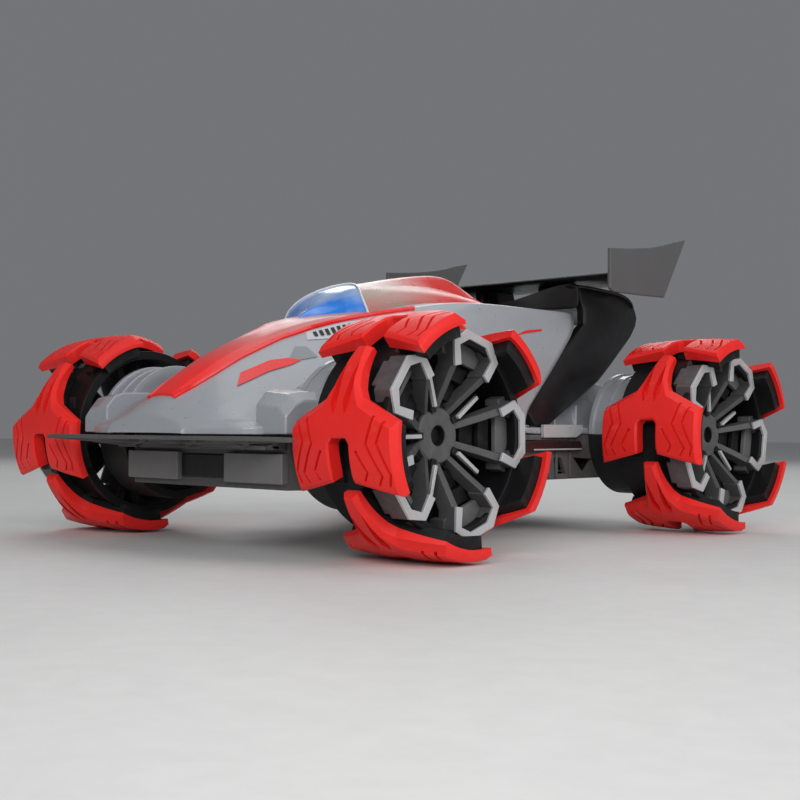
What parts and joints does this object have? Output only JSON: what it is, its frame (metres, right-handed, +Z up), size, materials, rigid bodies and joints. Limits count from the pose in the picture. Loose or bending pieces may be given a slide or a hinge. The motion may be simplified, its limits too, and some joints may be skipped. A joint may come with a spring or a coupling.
{
  "type": "radio-controlled stunt car",
  "caption": "Radio-controlled stunt car with claw-treaded wheels on geared axles, a wedge-nosed body shell, bubble canopy, rear hoop and wing.",
  "frame": {"origin": "on the ground under the middle of the car", "axes": "+Z up, +Y towards the rear wing (the nose points along -Y), +X to the car's left"},
  "size_m": [0.277, 0.3354, 0.164],
  "materials": {
    "body_silver": "silver-grey lacquered plastic, gloss",
    "tread_red": "bright red soft plastic, semi-gloss",
    "spine_red": "red lacquered stripe, gloss",
    "rim_dark": "dark grey moulded plastic with silver painted trims",
    "chassis_grey": "dark grey-brown moulded plastic, satin",
    "fairing_black": "black moulded plastic, satin gloss",
    "plate_grey": "flat dark grey plastic",
    "canopy_blue": "blue to white lacquered clear plastic, gloss",
    "roof_red": "pale to red tinted plastic, gloss",
    "steel": "bright steel",
    "gear_white": "natural nylon",
    "board_green": "green circuit board",
    "battery_blue": "blue heat-shrink sleeve"
  },
  "bodies": {
    "chassis": {"chassis_tray": "chassis_grey", "body_shell": "body_silver", "nose_spine": "spine_red", "windshield": "canopy_blue", "roof_cover": "roof_red", "rear_cover": "body_silver", "rear_fairing": "fairing_black", "front_bumper": "chassis_grey", "rear_wing": "fairing_black", "wing_mount": "fairing_black", "endplate_left": "plate_grey", "endplate_right": "plate_grey", "battery_pack": "battery_blue", "battery_cover": "chassis_grey", "circuit_board": "board_green", "motor_front_left": "steel", "motor_front_right": "steel", "motor_rear_left": "steel", "motor_rear_right": "steel", "gearbox_front_left": "body_silver", "gearbox_front_right": "body_silver", "gearbox_rear_left": "body_silver", "gearbox_rear_right": "body_silver"},
    "wheel_front_left": {"rim_front_left": "rim_dark", "tread_front_left_1": "tread_red", "tread_front_left_2": "tread_red", "tread_front_left_3": "tread_red", "tread_front_left_4": "tread_red", "tread_front_left_5": "tread_red", "axle_front_left": "steel", "axle_gear_front_left": "gear_white"},
    "pinion_front_left": {"pinion_front_left": "steel"},
    "wheel_front_right": {"rim_front_right": "rim_dark", "tread_front_right_1": "tread_red", "tread_front_right_2": "tread_red", "tread_front_right_3": "tread_red", "tread_front_right_4": "tread_red", "tread_front_right_5": "tread_red", "axle_front_right": "steel", "axle_gear_front_right": "gear_white"},
    "pinion_front_right": {"pinion_front_right": "steel"},
    "wheel_rear_left": {"rim_rear_left": "rim_dark", "tread_rear_left_1": "tread_red", "tread_rear_left_2": "tread_red", "tread_rear_left_3": "tread_red", "tread_rear_left_4": "tread_red", "tread_rear_left_5": "tread_red", "axle_rear_left": "steel", "axle_gear_rear_left": "gear_white"},
    "pinion_rear_left": {"pinion_rear_left": "steel"},
    "wheel_rear_right": {"rim_rear_right": "rim_dark", "tread_rear_right_1": "tread_red", "tread_rear_right_2": "tread_red", "tread_rear_right_3": "tread_red", "tread_rear_right_4": "tread_red", "tread_rear_right_5": "tread_red", "axle_rear_right": "steel", "axle_gear_rear_right": "gear_white"},
    "pinion_rear_right": {"pinion_rear_right": "steel"},
    "switch": {"power_switch": "plate_grey"}
  },
  "joints": [
    {"name": "spin_front_left", "type": "hinge", "parent": "chassis", "child": "wheel_front_left", "pos_m": [0.109, -0.102, 0.052], "axis": [1, 0, 0], "continuous": true},
    {"name": "motor_spin_front_left", "type": "hinge", "parent": "chassis", "child": "pinion_front_left", "pos_m": [0.07, -0.085, 0.0401], "axis": [1, 0, 0], "continuous": true},
    {"name": "spin_front_right", "type": "hinge", "parent": "chassis", "child": "wheel_front_right", "pos_m": [-0.109, -0.102, 0.052], "axis": [1, 0, 0], "continuous": true},
    {"name": "motor_spin_front_right", "type": "hinge", "parent": "chassis", "child": "pinion_front_right", "pos_m": [-0.07, -0.085, 0.0401], "axis": [1, 0, 0], "continuous": true},
    {"name": "spin_rear_left", "type": "hinge", "parent": "chassis", "child": "wheel_rear_left", "pos_m": [0.109, 0.116, 0.052], "axis": [1, 0, 0], "continuous": true},
    {"name": "motor_spin_rear_left", "type": "hinge", "parent": "chassis", "child": "pinion_rear_left", "pos_m": [0.07, 0.099, 0.0401], "axis": [1, 0, 0], "continuous": true},
    {"name": "spin_rear_right", "type": "hinge", "parent": "chassis", "child": "wheel_rear_right", "pos_m": [-0.109, 0.116, 0.052], "axis": [1, 0, 0], "continuous": true},
    {"name": "motor_spin_rear_right", "type": "hinge", "parent": "chassis", "child": "pinion_rear_right", "pos_m": [-0.07, 0.099, 0.0401], "axis": [1, 0, 0], "continuous": true},
    {"name": "power_slide", "type": "slide", "parent": "chassis", "child": "switch", "axis": [0, 1, 0], "range_m": [0, 0.004]}
  ],
  "couplings": [
    {"joint": "motor_spin_front_left", "follows": "spin_front_left", "ratio": -2.4},
    {"joint": "motor_spin_front_right", "follows": "spin_front_right", "ratio": -2.4},
    {"joint": "motor_spin_rear_left", "follows": "spin_rear_left", "ratio": -2.4},
    {"joint": "motor_spin_rear_right", "follows": "spin_rear_right", "ratio": -2.4}
  ]
}
